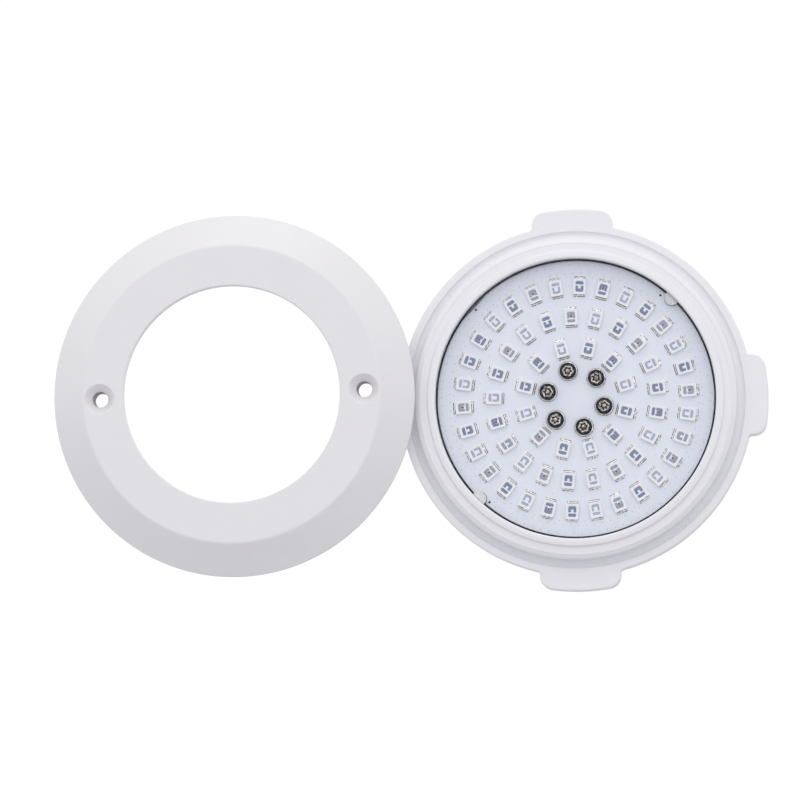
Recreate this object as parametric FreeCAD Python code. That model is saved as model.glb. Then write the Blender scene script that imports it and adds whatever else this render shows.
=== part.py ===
import FreeCAD, Part
import math
import os

# Underwater pool light: a wall-mounted LED lamp with its face ring beside it. Millimetres.
# The lamp's axis is Y. It faces -Y, its threaded spigot points along +Y into the wall, and +Z is up.
# The origin is on the axis, in the plane of the housing's rear face, where it meets the wall.
# Depths along Y: a smaller number is nearer the water.

V = FreeCAD.Vector
ORIGIN = V(0, 0, 0)
REARWARD = V(0, 1, 0)

# Planes of the lamp
WALL = 0.0
FLANGE_BACK = -7.6
SEAT = -9.5
FLANGE_FRONT = -12.0
RIM_FRONT = -16.0

# Housing
CUP_R = 36.0
CUP_BORE_R = 33.2
CUP_FLOOR = 2.5
FLANGE_R = 38.75
FLANGE_BORE_R = 37.0
TAB_R = 42.1
TAB_WIDTH = 17.8
TAB_CORNER_R = 3.0
TAB_COUNT = 4
TAB_TURN = 1.2
SPIGOT_R = 23.9
SPIGOT_BORE_R = 20.0
SPIGOT_LENGTH = 29.0
SPIGOT_CHAMFER = 1.5
END_WALL = 3.0
GASKET_R = (27.5, 31.5)
GASKET_DEPTH = 1.5
PLATE_BOSS_R = 2.8
PLATE_BOSS_PLACE_R = 27.0
PLATE_BOSS_COUNT = 3
PLATE_BOSS_TURN = 15.0

# Bezel, lens and their seals
WINDOW_R = 30.75
WINDOW_MOUTH_R = 31.0
RIM_R = 32.47
LEDGE_R = 30.32
LEDGE_FRONT = -13.7
LEDGE_BACK = -13.1
BEZEL_BORE_R = 31.3
BEZEL_R = 36.95
BAND_R = 34.3
STEP_R = 35.3
LENS_R = 30.7
LENS_SEAL_R = (30.32, 30.7)
LENS_SEAL_THICK = 0.4
BEZEL_SEAL_R = 34.6
BEZEL_SEAL_SECTION_R = 0.5

# LED board
BOARD_FRONT = -12.6
BOARD_THICK = 1.6
BOARD_R = 30.38
BOARD_FLAT = 30.17
BOARD_FLAT_ANGLES = (137.5, 316.0)
PIN_R = 1.6
PIN_PLACE_R = 30.5
PIN_REACH_R = 30.68
PIN_ANGLES = (46.1, 225.7)
NOTCH_R = 1.7
BOARD_SCREW_PLACE_R = 6.39
BOARD_SCREW_COUNT = 6
BOARD_SCREW_TURN = 45.7
BOARD_SCREW_HOLE_R = 1.1

# LED packages: length lies along the radius
LED_LENGTH = 3.5
LED_WIDTH = 2.8
LED_HEIGHT = 0.8
LED_WINDOW_LENGTH = 2.6
LED_WINDOW_WIDTH = 1.96
LED_WINDOW_DEPTH = 0.12
TERMINAL_SPAN = 4.6
TERMINAL_WIDTH = 2.5
TERMINAL_HEIGHT = 0.3
LED_RINGS = (
    (24.78, 30, 4.0, "red blue green"),
    (18.06, 21, 7.47, "blue green red"),
    (11.39, 12, 15.9, "green red blue"),
)

# Heat path
PLATE_FRONT = -10.7
PLATE_THICK = 3.0
PLATE_R = 31.0
PAD_R = 27.8

# Fasteners: shaft radius, head radius, head height
M2 = (1.0, 1.83, 1.1)
M3 = (1.5, 2.85, 1.8)
WASHER_R = 2.15
WASHER_THICK = 0.25

# Driver
DRIVER_FRONT = 4.0
DRIVER_THICK = 1.6
DRIVER_R = 18.8
STANDOFF_PLACE_R = 15.6
STANDOFF_COUNT = 3
STANDOFF_TURN = 75.0
STANDOFF_FLATS = 5.0
LINK_COUNT = 4
LINK_PITCH = 2.54
LINK_PIN = 0.64
LINK_Z = -12.0
POTTING_FRONT = 20.5

# Cable gland, on the lamp's axis
GLAND_THREAD_R = 8.0
GLAND_THREAD_START = 18.5
GLAND_WASHER_R = 11.0
GLAND_WASHER_THICK = 1.4
GLAND_FLATS = 21.0
GLAND_FLANGE = 4.0
GLAND_BARREL_R = 8.2
GLAND_BARREL = 9.0
GLAND_POCKET_R = 6.4
CABLE_HOLE_R = 3.25
NUT_CLEARANCE = 0.06
NUT_FLATS = 20.5
NUT_GAP = 0.8
CLAMP_THICK = 1.4
NUT_END_WALL = 2.4
LOCKNUT_FLATS = 20.0
LOCKNUT_THICK = 4.0

# Face ring, beside the lamp and in front of its left edge
RING_X = -74.93
RING_Z = 0.86
RING_BACK = -16.6
RING_HEIGHT = 6.0
RING_R = 39.83
RING_EDGE = 0.9
RING_FACE_R = 32.73
RING_APERTURE_R = 23.81
RING_WALL = 2.2
RING_HOLE_R = 1.73
RING_HOLE_PLACE_R = 29.1
RING_HOLE_TURN = 1.85
COUNTERSINK_R = 3.3
RING_BOSS_R = 3.9
RING_RIB_COUNT = 12
RING_RIB_THICK = 1.4


def polar(radius, degrees, y):
    """A point on a circle about the lamp's axis, counted anticlockwise from +X as seen from the front."""
    angle = math.radians(degrees)
    return V(radius * math.cos(angle), y, radius * math.sin(angle))


def turned(shape, degrees):
    """A copy of a shape, turned anticlockwise about the lamp's axis as seen from the front."""
    copy = shape.copy()
    copy.rotate(ORIGIN, REARWARD, -degrees)
    return copy


def lathe(outline):
    """A body of revolution about the lamp's axis, from (radius, y) corners."""
    corners = [V(r, y, 0) for r, y in outline]
    face = Part.Face(Part.makePolygon(corners + corners[:1]))
    return face.revolve(ORIGIN, REARWARD, 360)


def disc(radius, start, end):
    return Part.makeCylinder(radius, end - start, V(0, start, 0), REARWARD)


def tube(inner, outer, start, end):
    return disc(outer, start, end).cut(disc(inner, start - 1, end + 1))


def rod(radius, place, length):
    """A cylinder from a place, along +Y."""
    return Part.makeCylinder(radius, length, place, REARWARD)


def block(size_x, size_z, start, end, x=0.0, z=0.0):
    """A box centred on (x, z), from one y to another."""
    return Part.makeBox(size_x, end - start, size_z, V(x - size_x / 2, start, z - size_z / 2))


def hexagon(flats, start, end):
    """A hexagonal prism about the lamp's axis, by its width across flats."""
    radius = flats / math.sqrt(3)
    corners = [polar(radius, 60 * k, start) for k in range(6)]
    face = Part.Face(Part.makePolygon(corners + corners[:1]))
    return face.extrude(V(0, end - start, 0))


def around(radius, count, turn, y):
    """Places evenly spaced on a circle about the lamp's axis."""
    return [polar(radius, turn + 360 * k / count, y) for k in range(count)]


def edges_along_y(shape, beyond):
    """The straight edges along Y that lie further than a radius from the lamp's axis."""
    found = []
    for edge in shape.Edges:
        first = edge.Vertexes[0].Point
        last = edge.Vertexes[-1].Point
        upright = abs(first.x - last.x) < 1e-6 and abs(first.z - last.z) < 1e-6
        if upright and math.hypot(first.x, first.z) > beyond:
            found.append(edge)
    return found


def pan_screw(place, sizes, length):
    """A pan-head screw with a cross recess, pointing along +Y: its place is the head's underside."""
    shaft_r, head_r, head_height = sizes
    crown = 0.75 * head_height
    head = lathe([(0, -head_height), (0.55 * head_r, -head_height), (0.9 * head_r, -crown),
                  (head_r, -0.5 * crown), (head_r, 0), (0, 0)])
    screw = head.fuse(rod(shaft_r, V(0, -0.1, 0), length + 0.1))
    slot = 0.28 * head_r
    depth = 0.6 * head_height
    recess = block(1.15 * head_r, slot, -head_height - 1, depth - head_height)
    for degrees in (0, 90):
        screw = screw.cut(turned(recess, degrees))
    screw.translate(place)
    return screw


def tab():
    """One grip tab: straight sides, an arced outer edge and rounded corners."""
    plate = block(TAB_R, TAB_WIDTH, FLANGE_FRONT, FLANGE_BACK, x=TAB_R / 2)
    plate = plate.common(disc(TAB_R, FLANGE_FRONT, FLANGE_BACK))
    plate = plate.makeFillet(TAB_CORNER_R, edges_along_y(plate, FLANGE_R))
    return plate.cut(disc(FLANGE_BORE_R + 0.5, FLANGE_FRONT - 1, FLANGE_BACK + 1))


def rear_housing():
    inner_floor = WALL - CUP_FLOOR
    spigot_end = WALL + SPIGOT_LENGTH
    shell = lathe([
        (FLANGE_BORE_R, FLANGE_FRONT), (FLANGE_R - 0.4, FLANGE_FRONT), (FLANGE_R, FLANGE_FRONT + 0.4),
        (FLANGE_R, FLANGE_BACK - 0.4), (FLANGE_R - 0.4, FLANGE_BACK), (CUP_R, FLANGE_BACK),
        (CUP_R - 0.3, WALL - 0.6), (CUP_R - 0.9, WALL), (SPIGOT_R, WALL),
        (SPIGOT_R, spigot_end - SPIGOT_CHAMFER), (SPIGOT_R - SPIGOT_CHAMFER, spigot_end),
        (GLAND_THREAD_R + 0.1, spigot_end), (GLAND_THREAD_R + 0.1, spigot_end - END_WALL),
        (SPIGOT_BORE_R, spigot_end - END_WALL), (SPIGOT_BORE_R, inner_floor),
        (CUP_BORE_R, inner_floor), (CUP_BORE_R, SEAT), (FLANGE_BORE_R, SEAT),
    ])
    for k in range(TAB_COUNT):
        shell = shell.fuse(turned(tab(), TAB_TURN + 360 * k / TAB_COUNT))
    shell = shell.cut(tube(GASKET_R[0], GASKET_R[1], WALL - GASKET_DEPTH, WALL + 1))
    plate_back = PLATE_FRONT + PLATE_THICK
    for place in around(PLATE_BOSS_PLACE_R, PLATE_BOSS_COUNT, PLATE_BOSS_TURN, plate_back):
        shell = shell.fuse(rod(PLATE_BOSS_R, place, inner_floor - plate_back + 0.2))
        shell = shell.cut(rod(M3[0], place, inner_floor - plate_back))
    return shell.removeSplitter()


def front_bezel():
    ring = lathe([
        (WINDOW_MOUTH_R, RIM_FRONT), (RIM_R - 0.35, RIM_FRONT), (RIM_R, RIM_FRONT + 0.35),
        (RIM_R + 0.15, -15.0), (BAND_R, -14.7), (BAND_R + 0.08, -14.5), (BAND_R + 0.45, -14.42),
        (BAND_R + 0.5, -14.25), (STEP_R - 0.1, -14.15), (STEP_R, -14.0), (BEZEL_R, FLANGE_FRONT),
        (BEZEL_R, SEAT), (BEZEL_BORE_R, SEAT), (BEZEL_BORE_R, LEDGE_BACK),
        (LEDGE_R, LEDGE_BACK), (LEDGE_R, LEDGE_FRONT), (WINDOW_R, LEDGE_FRONT),
    ])
    for degrees in PIN_ANGLES:
        place = polar(PIN_PLACE_R, degrees, LEDGE_FRONT)
        ring = ring.cut(rod(PIN_R + 0.05, place, LEDGE_BACK - LEDGE_FRONT))
    half = BEZEL_SEAL_SECTION_R + 0.05
    depth = 2 * BEZEL_SEAL_SECTION_R
    return ring.cut(tube(BEZEL_SEAL_R - half, BEZEL_SEAL_R + half, SEAT - depth, SEAT + 1))


def bezel_seal():
    centre = V(0, SEAT - BEZEL_SEAL_SECTION_R, 0)
    return Part.makeTorus(BEZEL_SEAL_R, BEZEL_SEAL_SECTION_R, centre, REARWARD)


def lens():
    back = LEDGE_FRONT - LENS_SEAL_THICK
    return lathe([
        (0, RIM_FRONT), (LENS_R - 0.1, RIM_FRONT), (LENS_R, RIM_FRONT + 0.1), (LENS_R, back), (0, back),
    ])


def lens_seal():
    """A flat ring between the lens and the ledge, open where the locating pins stand."""
    start = LEDGE_FRONT - LENS_SEAL_THICK
    ring = tube(LENS_SEAL_R[0], LENS_SEAL_R[1], start, LEDGE_FRONT)
    for degrees in PIN_ANGLES:
        ring = ring.cut(rod(PIN_R + 0.05, polar(PIN_PLACE_R, degrees, start - 1), LENS_SEAL_THICK + 2))
    return ring


def led_board():
    back = BOARD_FRONT + BOARD_THICK
    board = disc(BOARD_R, BOARD_FRONT, back)
    for degrees in BOARD_FLAT_ANGLES:
        beyond = block(4, BOARD_R, BOARD_FRONT - 1, back + 1, x=BOARD_FLAT + 2)
        board = board.cut(turned(beyond, degrees))
    for degrees in PIN_ANGLES:
        board = board.cut(rod(NOTCH_R, polar(PIN_PLACE_R, degrees, BOARD_FRONT - 1), BOARD_THICK + 2))
    for place in around(BOARD_SCREW_PLACE_R, BOARD_SCREW_COUNT, BOARD_SCREW_TURN, BOARD_FRONT - 1):
        board = board.cut(rod(BOARD_SCREW_HOLE_R, place, BOARD_THICK + 2))
    return board


def led_places(colour):
    """(radius, angle) of each package of one colour, or of every package."""
    found = []
    for radius, count, turn, order in LED_RINGS:
        for k in range(count):
            if colour in ("all", order.split()[k % 3]):
                found.append((radius, turn + 360 * k / count))
    return found


def led_package():
    """One package standing on the board at the axis, with its shallow window."""
    front = BOARD_FRONT - LED_HEIGHT
    body = block(LED_LENGTH, LED_WIDTH, front, BOARD_FRONT)
    window = block(LED_WINDOW_LENGTH, LED_WINDOW_WIDTH, front - 1, front + LED_WINDOW_DEPTH)
    return body.cut(window)


def leds(colour):
    package = led_package()
    placed = []
    for radius, degrees in led_places(colour):
        one = package.copy()
        one.translate(V(radius, 0, 0))
        placed.append(turned(one, degrees))
    return Part.makeCompound(placed)


def led_terminals():
    length = (TERMINAL_SPAN - LED_LENGTH) / 2
    front = BOARD_FRONT - TERMINAL_HEIGHT
    placed = []
    for radius, degrees in led_places("all"):
        for side in (-1, 1):
            x = radius + side * (LED_LENGTH + length) / 2
            placed.append(turned(block(length, TERMINAL_WIDTH, front, BOARD_FRONT, x=x), degrees))
    return Part.makeCompound(placed)


def board_screws():
    y = BOARD_FRONT - WASHER_THICK
    places = around(BOARD_SCREW_PLACE_R, BOARD_SCREW_COUNT, BOARD_SCREW_TURN, y)
    length = PLATE_FRONT + PLATE_THICK - 0.2 - y
    return Part.makeCompound([pan_screw(place, M2, length) for place in places])


def screw_washers():
    y = BOARD_FRONT - WASHER_THICK
    placed = []
    for place in around(BOARD_SCREW_PLACE_R, BOARD_SCREW_COUNT, BOARD_SCREW_TURN, y):
        washer = rod(WASHER_R, place, WASHER_THICK)
        placed.append(washer.cut(rod(BOARD_SCREW_HOLE_R, place - V(0, 1, 0), WASHER_THICK + 2)))
    return Part.makeCompound(placed)


def locating_pins():
    """Pins with a flattened outer side, that stand in the board's notches and end just behind the lens."""
    start = LEDGE_FRONT - LENS_SEAL_THICK + 0.05
    end = PLATE_FRONT + 1.0
    reach = disc(PIN_REACH_R, start, end)
    pins = [rod(PIN_R, polar(PIN_PLACE_R, degrees, start), end - start) for degrees in PIN_ANGLES]
    return Part.makeCompound([pin.common(reach) for pin in pins])


def heat_plate():
    back = PLATE_FRONT + PLATE_THICK
    plate = disc(PLATE_R, PLATE_FRONT, back)
    for place in around(BOARD_SCREW_PLACE_R, BOARD_SCREW_COUNT, BOARD_SCREW_TURN, PLATE_FRONT - 1):
        plate = plate.cut(rod(M2[0], place, PLATE_THICK + 2))
    for degrees in PIN_ANGLES:
        plate = plate.cut(rod(PIN_R, polar(PIN_PLACE_R, degrees, PLATE_FRONT - 1), 2.0))
    for place in around(PLATE_BOSS_PLACE_R, PLATE_BOSS_COUNT, PLATE_BOSS_TURN, PLATE_FRONT):
        plate = plate.cut(rod(M3[0] + 0.1, place, PLATE_THICK + 1))
        plate = plate.cut(rod(M3[1] + 0.1, place - V(0, 1, 0), 1 + M3[2]))
    for place in around(STANDOFF_PLACE_R, STANDOFF_COUNT, STANDOFF_TURN, PLATE_FRONT + 1):
        plate = plate.cut(rod(M3[0], place, PLATE_THICK))
    return plate.cut(link_slot(PLATE_FRONT - 1, back + 1))


def link_slot(start, end):
    return block(LINK_COUNT * LINK_PITCH + 1.5, 3.0, start, end, z=LINK_Z)


def thermal_pad():
    pad = disc(PAD_R, BOARD_FRONT + BOARD_THICK, PLATE_FRONT)
    for place in around(BOARD_SCREW_PLACE_R, BOARD_SCREW_COUNT, BOARD_SCREW_TURN, BOARD_FRONT):
        pad = pad.cut(rod(BOARD_SCREW_HOLE_R, place, 4))
    for place in around(PLATE_BOSS_PLACE_R, PLATE_BOSS_COUNT, PLATE_BOSS_TURN, BOARD_FRONT):
        pad = pad.cut(rod(M3[1] + 0.4, place, 4))
    return pad.cut(link_slot(BOARD_FRONT, PLATE_FRONT + 1))


def plate_screws():
    y = PLATE_FRONT + M3[2]
    places = around(PLATE_BOSS_PLACE_R, PLATE_BOSS_COUNT, PLATE_BOSS_TURN, y)
    length = WALL - CUP_FLOOR - 0.4 - y
    return Part.makeCompound([pan_screw(place, M3, length) for place in places])


def wall_gasket():
    return tube(GASKET_R[0], GASKET_R[1], WALL - GASKET_DEPTH, WALL)


def driver_board():
    back = DRIVER_FRONT + DRIVER_THICK
    board = disc(DRIVER_R, DRIVER_FRONT, back)
    for place in around(STANDOFF_PLACE_R, STANDOFF_COUNT, STANDOFF_TURN, DRIVER_FRONT - 1):
        board = board.cut(rod(M3[0] + 0.1, place, DRIVER_THICK + 2))
    for x in link_xs():
        board = board.cut(block(LINK_PIN, LINK_PIN, DRIVER_FRONT - 1, back + 1, x=x, z=LINK_Z))
    return board


def driver_standoffs():
    start = PLATE_FRONT + PLATE_THICK
    pillar = hexagon(STANDOFF_FLATS, start, DRIVER_FRONT)
    pillar = pillar.fuse(rod(M3[0], V(0, start - 1.8, 0), 2.0))
    pillar = pillar.cut(rod(M3[0], V(0, DRIVER_FRONT - 5.0, 0), 6.0))
    placed = []
    for place in around(STANDOFF_PLACE_R, STANDOFF_COUNT, STANDOFF_TURN, 0):
        one = pillar.copy()
        one.translate(place)
        placed.append(one)
    return Part.makeCompound(placed)


def driver_screws():
    placed = []
    for place in around(STANDOFF_PLACE_R, STANDOFF_COUNT, STANDOFF_TURN, 0):
        screw = pan_screw(ORIGIN, M3, 4.5 + DRIVER_THICK)
        screw.rotate(ORIGIN, V(0, 0, 1), 180)
        screw.translate(V(place.x, DRIVER_FRONT + DRIVER_THICK, place.z))
        placed.append(screw)
    return Part.makeCompound(placed)


def link_xs():
    return [LINK_PITCH * (k - (LINK_COUNT - 1) / 2) for k in range(LINK_COUNT)]


def link_pins():
    start = BOARD_FRONT + BOARD_THICK
    end = DRIVER_FRONT + DRIVER_THICK + 0.6
    return Part.makeCompound([block(LINK_PIN, LINK_PIN, start, end, x=x, z=LINK_Z) for x in link_xs()])


def link_header():
    header = block(LINK_COUNT * LINK_PITCH, 2.5, DRIVER_FRONT - 8.5, DRIVER_FRONT, z=LINK_Z)
    for x in link_xs():
        header = header.cut(block(LINK_PIN, LINK_PIN, DRIVER_FRONT - 9, DRIVER_FRONT + 1, x=x, z=LINK_Z))
    return header


def on_driver(shape, x, z):
    """A part standing on the driver board's rear side."""
    shape.translate(V(x, DRIVER_FRONT + DRIVER_THICK, z))
    return shape


def rectifier():
    body = on_driver(block(8.4, 6.4, 0, 3.2), -7.5, -7.6)
    return body.makeChamfer(0.3, body.Edges)


def capacitors():
    can = lathe([
        (0, 0), (3.8, 0), (4.0, 0.3), (4.0, 1.2), (3.8, 1.5), (4.0, 1.8), (4.0, 11.6), (3.7, 12.0),
        (0, 12.0),
    ])
    return Part.makeCompound([on_driver(can.copy(), -9.4, 3.4), on_driver(can.copy(), -3.4, 12.2)])


def inductor_core():
    core = lathe([(0, 0), (4.6, 0), (4.6, 1.2), (2.6, 1.2), (2.6, 6.0), (4.6, 6.0), (4.6, 7.2), (0, 7.2)])
    return on_driver(core, 3.2, -4.2)


def inductor_winding():
    return on_driver(tube(2.62, 4.2, 1.25, 5.95), 3.2, -4.2)


def controller_chip():
    front = DRIVER_FRONT - 1.75
    chip = block(9.9, 3.9, front, DRIVER_FRONT - 0.15)
    for side in (-1, 1):
        for k in range(8):
            x = 1.27 * (k - 3.5)
            z = side * 2.45
            leg_front = DRIVER_FRONT - 0.95
            chip = chip.fuse(block(0.42, 1.1, leg_front, leg_front + 0.2, x=x, z=z - side * 0.1))
            chip = chip.fuse(block(0.42, 0.3, leg_front, DRIVER_FRONT, x=x, z=z + side * 0.45))
    return chip


def switching_transistors():
    placed = []
    for x in (-8.0, 0.0, 8.0):
        placed.append(block(6.5, 6.1, DRIVER_FRONT - 2.3, DRIVER_FRONT, x=x, z=8.0))
    return Part.makeCompound(placed)


def terminal_block():
    body = block(10.2, 8.0, 0, 9.0)
    for x in (-2.54, 2.54):
        body = body.cut(rod(1.6, V(x, 6.5, 0), 4.0))
        body = body.cut(block(3.0, 4.0, 1.5, 5.0, x=x, z=-3.0))
    return on_driver(body, 7.5, 4.8)


def potting_resin():
    end = SPIGOT_LENGTH - END_WALL
    fill = disc(SPIGOT_BORE_R, POTTING_FRONT, end)
    fill = fill.cut(hexagon(LOCKNUT_FLATS, end - LOCKNUT_THICK, end + 1))
    fill = fill.cut(disc(GLAND_THREAD_R + 0.05, POTTING_FRONT - 1, end))
    return fill


def gland_seal_start():
    return SPIGOT_LENGTH + GLAND_WASHER_THICK + GLAND_FLANGE + 1.0


def gland_barrel_end():
    return SPIGOT_LENGTH + GLAND_WASHER_THICK + GLAND_FLANGE + GLAND_BARREL


def gland_body():
    flange = SPIGOT_LENGTH + GLAND_WASHER_THICK
    body = disc(GLAND_THREAD_R, GLAND_THREAD_START, flange)
    body = body.fuse(hexagon(GLAND_FLATS, flange, flange + GLAND_FLANGE))
    body = body.fuse(disc(GLAND_BARREL_R, flange, gland_barrel_end()))
    body = body.cut(disc(CABLE_HOLE_R, GLAND_THREAD_START - 1, gland_barrel_end() + 1))
    return body.cut(disc(GLAND_POCKET_R, gland_seal_start(), gland_barrel_end() + 1))


def gland_washer():
    return tube(GLAND_THREAD_R + 0.05, GLAND_WASHER_R, SPIGOT_LENGTH, SPIGOT_LENGTH + GLAND_WASHER_THICK)


def gland_locknut():
    end = SPIGOT_LENGTH - END_WALL
    return hexagon(LOCKNUT_FLATS, end - LOCKNUT_THICK, end).cut(disc(GLAND_THREAD_R, end - 9, end + 1))


def gland_seal():
    return tube(CABLE_HOLE_R, GLAND_POCKET_R - 0.02, gland_seal_start(), gland_barrel_end() + 0.6)


def gland_clamp():
    start = gland_barrel_end() + 0.65
    return tube(CABLE_HOLE_R + 0.5, GLAND_POCKET_R, start, start + CLAMP_THICK)


def gland_nut():
    start = SPIGOT_LENGTH + GLAND_WASHER_THICK + GLAND_FLANGE + NUT_GAP
    wall = gland_barrel_end() + 0.65 + CLAMP_THICK + 0.05
    end = wall + NUT_END_WALL
    dome_start = end - 3.2
    nut = hexagon(NUT_FLATS, start, dome_start)
    nut = nut.fuse(lathe([(0, dome_start), (NUT_FLATS / 2, dome_start), (0.92 * NUT_FLATS / 2, end - 0.9),
                          (0.78 * NUT_FLATS / 2, end), (0, end)]))
    nut = nut.cut(disc(GLAND_BARREL_R + NUT_CLEARANCE, start - 1, wall))
    return nut.cut(disc(CABLE_HOLE_R + 0.5, wall - 1, end + 1)).removeSplitter()


def ring_section():
    """The ring's shell on its own axis, face at -RING_HEIGHT and open back at 0."""
    face = -RING_HEIGHT
    slope = (RING_R - RING_FACE_R) / (RING_HEIGHT - RING_EDGE)
    inset = RING_WALL * math.hypot(1, slope) - RING_WALL * slope
    inner_r = RING_FACE_R - inset
    inner_face = face + RING_WALL
    foot_r = inner_r + slope * (-inner_face)
    return lathe([
        (RING_APERTURE_R + 0.25, face), (RING_FACE_R - 0.5, face), (RING_FACE_R - 0.15, face + 0.06),
        (RING_FACE_R + 0.3, face + 0.3), (RING_R - 0.1, -RING_EDGE), (RING_R, -RING_EDGE + 0.15),
        (RING_R, 0), (foot_r, 0), (inner_r, inner_face), (RING_APERTURE_R, inner_face),
        (RING_APERTURE_R, face + 0.25),
    ])


def face_ring():
    ring = ring_section()
    inner_face = RING_WALL - RING_HEIGHT
    for k in range(RING_RIB_COUNT):
        rib = block(RING_FACE_R - RING_APERTURE_R, RING_RIB_THICK, inner_face - 0.2, -0.6,
                    x=(RING_FACE_R + RING_APERTURE_R) / 2 + 1.6)
        ring = ring.fuse(turned(rib, RING_HOLE_TURN + 360 * (k + 0.5) / RING_RIB_COUNT))
    for side in (0, 180):
        place = polar(RING_HOLE_PLACE_R, RING_HOLE_TURN + side, 0)
        foot = V(place.x, inner_face - 0.2, place.z)
        front = V(place.x, -RING_HEIGHT, place.z)
        ring = ring.fuse(rod(RING_BOSS_R, foot, 0.2 - inner_face))
        ring = ring.cut(rod(RING_HOLE_R, front - V(0, 1, 0), RING_HEIGHT + 2))
        cone = Part.makeCone(COUNTERSINK_R, RING_HOLE_R, COUNTERSINK_R - RING_HOLE_R, front, REARWARD)
        ring = ring.cut(cone)
    ring = ring.removeSplitter()
    ring.translate(V(RING_X, RING_BACK, RING_Z))
    return ring


PARTS = {
    "rear_housing": rear_housing,
    "front_bezel": front_bezel,
    "bezel_seal": bezel_seal,
    "lens": lens,
    "lens_seal": lens_seal,
    "led_board": led_board,
    "leds_red": lambda: leds("red"),
    "leds_green": lambda: leds("green"),
    "leds_blue": lambda: leds("blue"),
    "led_terminals": led_terminals,
    "board_screws": board_screws,
    "screw_washers": screw_washers,
    "locating_pins": locating_pins,
    "heat_plate": heat_plate,
    "thermal_pad": thermal_pad,
    "plate_screws": plate_screws,
    "wall_gasket": wall_gasket,
    "driver_board": driver_board,
    "driver_standoffs": driver_standoffs,
    "driver_screws": driver_screws,
    "rectifier": rectifier,
    "capacitors": capacitors,
    "inductor_core": inductor_core,
    "inductor_winding": inductor_winding,
    "controller_chip": controller_chip,
    "switching_transistors": switching_transistors,
    "link_header": link_header,
    "link_pins": link_pins,
    "terminal_block": terminal_block,
    "potting_resin": potting_resin,
    "gland_body": gland_body,
    "gland_washer": gland_washer,
    "gland_locknut": gland_locknut,
    "gland_seal": gland_seal,
    "gland_clamp": gland_clamp,
    "gland_nut": gland_nut,
    "face_ring": face_ring,
}

os.makedirs("parts", exist_ok=True)
for name, make in PARTS.items():
    make().exportStep(f"parts/{name}.step")
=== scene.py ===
import math
import random

import bmesh
import bpy
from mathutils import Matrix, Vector


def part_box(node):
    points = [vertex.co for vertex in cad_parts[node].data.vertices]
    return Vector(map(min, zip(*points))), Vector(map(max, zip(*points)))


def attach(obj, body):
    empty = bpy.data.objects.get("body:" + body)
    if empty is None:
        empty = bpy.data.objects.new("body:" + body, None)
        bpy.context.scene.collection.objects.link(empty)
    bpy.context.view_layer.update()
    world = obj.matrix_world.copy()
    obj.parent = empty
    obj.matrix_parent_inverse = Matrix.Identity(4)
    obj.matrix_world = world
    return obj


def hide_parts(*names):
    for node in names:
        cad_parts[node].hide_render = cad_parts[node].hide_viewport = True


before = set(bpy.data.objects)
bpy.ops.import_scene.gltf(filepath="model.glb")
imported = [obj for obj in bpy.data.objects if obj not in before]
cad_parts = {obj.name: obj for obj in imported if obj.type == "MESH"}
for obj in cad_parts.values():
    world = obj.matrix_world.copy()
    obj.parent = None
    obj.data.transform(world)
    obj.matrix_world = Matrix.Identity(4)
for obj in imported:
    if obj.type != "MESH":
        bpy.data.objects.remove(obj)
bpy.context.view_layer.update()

# Underwater pool light: a white lamp with a clear window over its LED board, and its face ring beside it.
# Lengths are in millimetres and are turned into metres as the meshes are made. Depths run along Y: a smaller
# number is nearer the viewer. An outline for eased() is a list of (radius, y, edge radius).
MM = 0.001
SHARP_ANGLE = 32.0
random.seed(7)

BODY = "lamp"


def node_box(node):
    """A CAD node's lowest and highest corner, in millimetres."""
    low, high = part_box(node)
    return low / MM, high / MM


# Places read from the CAD parts
ring_low, ring_high = node_box("face_ring")
RING_CENTRE = ((ring_low.x + ring_high.x) / 2, (ring_low.z + ring_high.z) / 2)
RING_R = (ring_high.x - ring_low.x) / 2
RING_FRONT = ring_low.y
RING_BACK = ring_high.y
bezel_low, bezel_high = node_box("front_bezel")
RIM_FRONT = bezel_low.y
SEAT = bezel_high.y
BEZEL_R = bezel_high.x
housing_low, housing_high = node_box("rear_housing")
FLANGE_FRONT = housing_low.y
SPIGOT_END = housing_high.y
TAB_R = (housing_high.z - housing_low.z) / 2
BOARD_FRONT = node_box("led_board")[0].y
LED_TOP = node_box("leds_red")[0].y
SCREW_TOP, SCREW_FOOT = (corner.y for corner in node_box("board_screws"))
WASHER_TOP = node_box("screw_washers")[0].y
GLAND_SEAT = node_box("gland_washer")[1].y
GLAND_START, GLAND_END = (corner.y for corner in node_box("gland_body"))
NUT_START, NUT_END = (corner.y for corner in node_box("gland_nut"))

# Face ring
RING_EDGE = 0.9
RING_FACE_R = 32.73
RING_APERTURE_R = 23.81
RING_WALL = 2.2
RING_HOLE_R = 1.73
RING_HOLE_PLACE_R = 29.1
RING_HOLE_TURN = 1.85
COUNTERSINK_R = 3.3
RING_BOSS_R = 3.9
RING_RIBS = 12
RING_RIB_THICK = 1.4
RING_RIB_INSET = 1.6

# Bezel, from the window's edge outwards: two values are (inner radius, outer radius) or (front, back)
LEDGE_R = 30.32
LEDGE_DEPTHS = (-13.7, -13.1)
BEZEL_BORE_R = 31.3
WINDOW_R = 30.75
WINDOW_LIP = (30.77, -15.55)
WINDOW_MOUTH_R = 30.98
RIM_R = (31.6, 32.44)
RIM_FOOT = -15.84
SLOPE_R = (32.50, 34.05)
SLOPE_DEPTHS = (-15.25, -15.15)
BEADS = ((34.22, -15.18, 0.10), (34.42, -15.08, 0.10), (34.60, -14.86, 0.10), (34.72, -14.88, 0.08),
         (34.86, -14.72, 0.08))
SHOULDER_R = (35.24, 35.36)
SHOULDER_DEPTHS = (-14.40, -11.90)
SKIRT_R = 36.34
SKIRT_DEPTHS = (-11.40, -11.78)
SEAL_GROOVE_R = (34.05, 35.15)
SEAL_GROOVE_DEPTH = 1.0

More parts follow.
